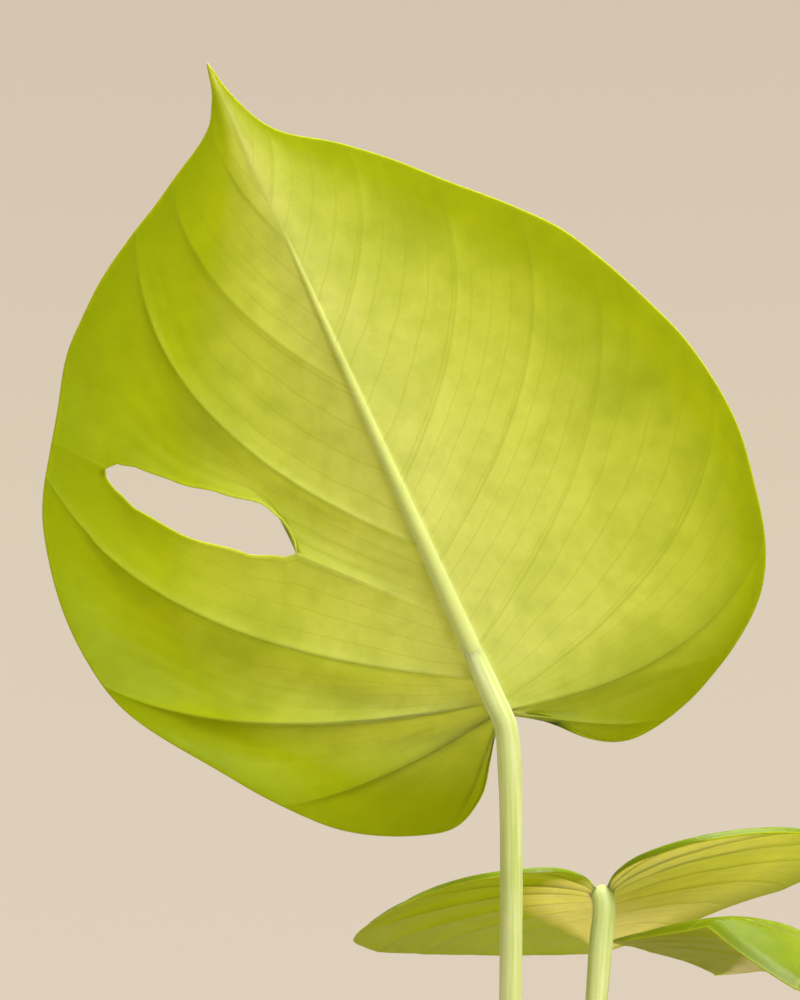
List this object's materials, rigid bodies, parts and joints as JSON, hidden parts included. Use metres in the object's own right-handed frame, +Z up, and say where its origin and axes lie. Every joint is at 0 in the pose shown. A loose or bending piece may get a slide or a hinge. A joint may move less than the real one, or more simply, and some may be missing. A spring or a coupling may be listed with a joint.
{
  "type": "potted monstera plant",
  "caption": "Young potted monstera: a large heart-shaped leaf with a slot above smaller uncut leaves, on slim stalks in a collared clay pot of soil.",
  "frame": {"origin": "centre of the pot's flat underside", "axes": "+Z up, the plant's tallest direction; the large leaf turns its underside to -Y"},
  "size_m": [0.2724, 0.2934, 0.5137],
  "materials": {
    "terracotta": "unglazed fired clay, matte",
    "potting_soil": "moist crumbly potting soil with bark and perlite",
    "stem_green": "smooth living stem, satin",
    "leaf_green": "thin living leaf, satin, light shines through it",
    "petiole_green": "smooth living leaf stalk, waxy satin"
  },
  "bodies": {
    "root": {"pot": "terracotta", "soil": "potting_soil", "stem_1": "stem_green", "stem_2": "stem_green", "spear_1": "petiole_green", "spear_2": "petiole_green", "leaf_1_blade": "leaf_green", "leaf_1_petiole": "petiole_green", "leaf_2_blade": "leaf_green", "leaf_2_petiole": "petiole_green", "leaf_3_blade": "leaf_green", "leaf_3_petiole": "petiole_green", "leaf_4_blade": "leaf_green", "leaf_4_petiole": "petiole_green", "leaf_5_blade": "leaf_green", "leaf_5_petiole": "petiole_green", "leaf_6_blade": "leaf_green", "leaf_6_petiole": "petiole_green", "leaf_7_blade": "leaf_green", "leaf_7_petiole": "petiole_green"}
  },
  "joints": []
}
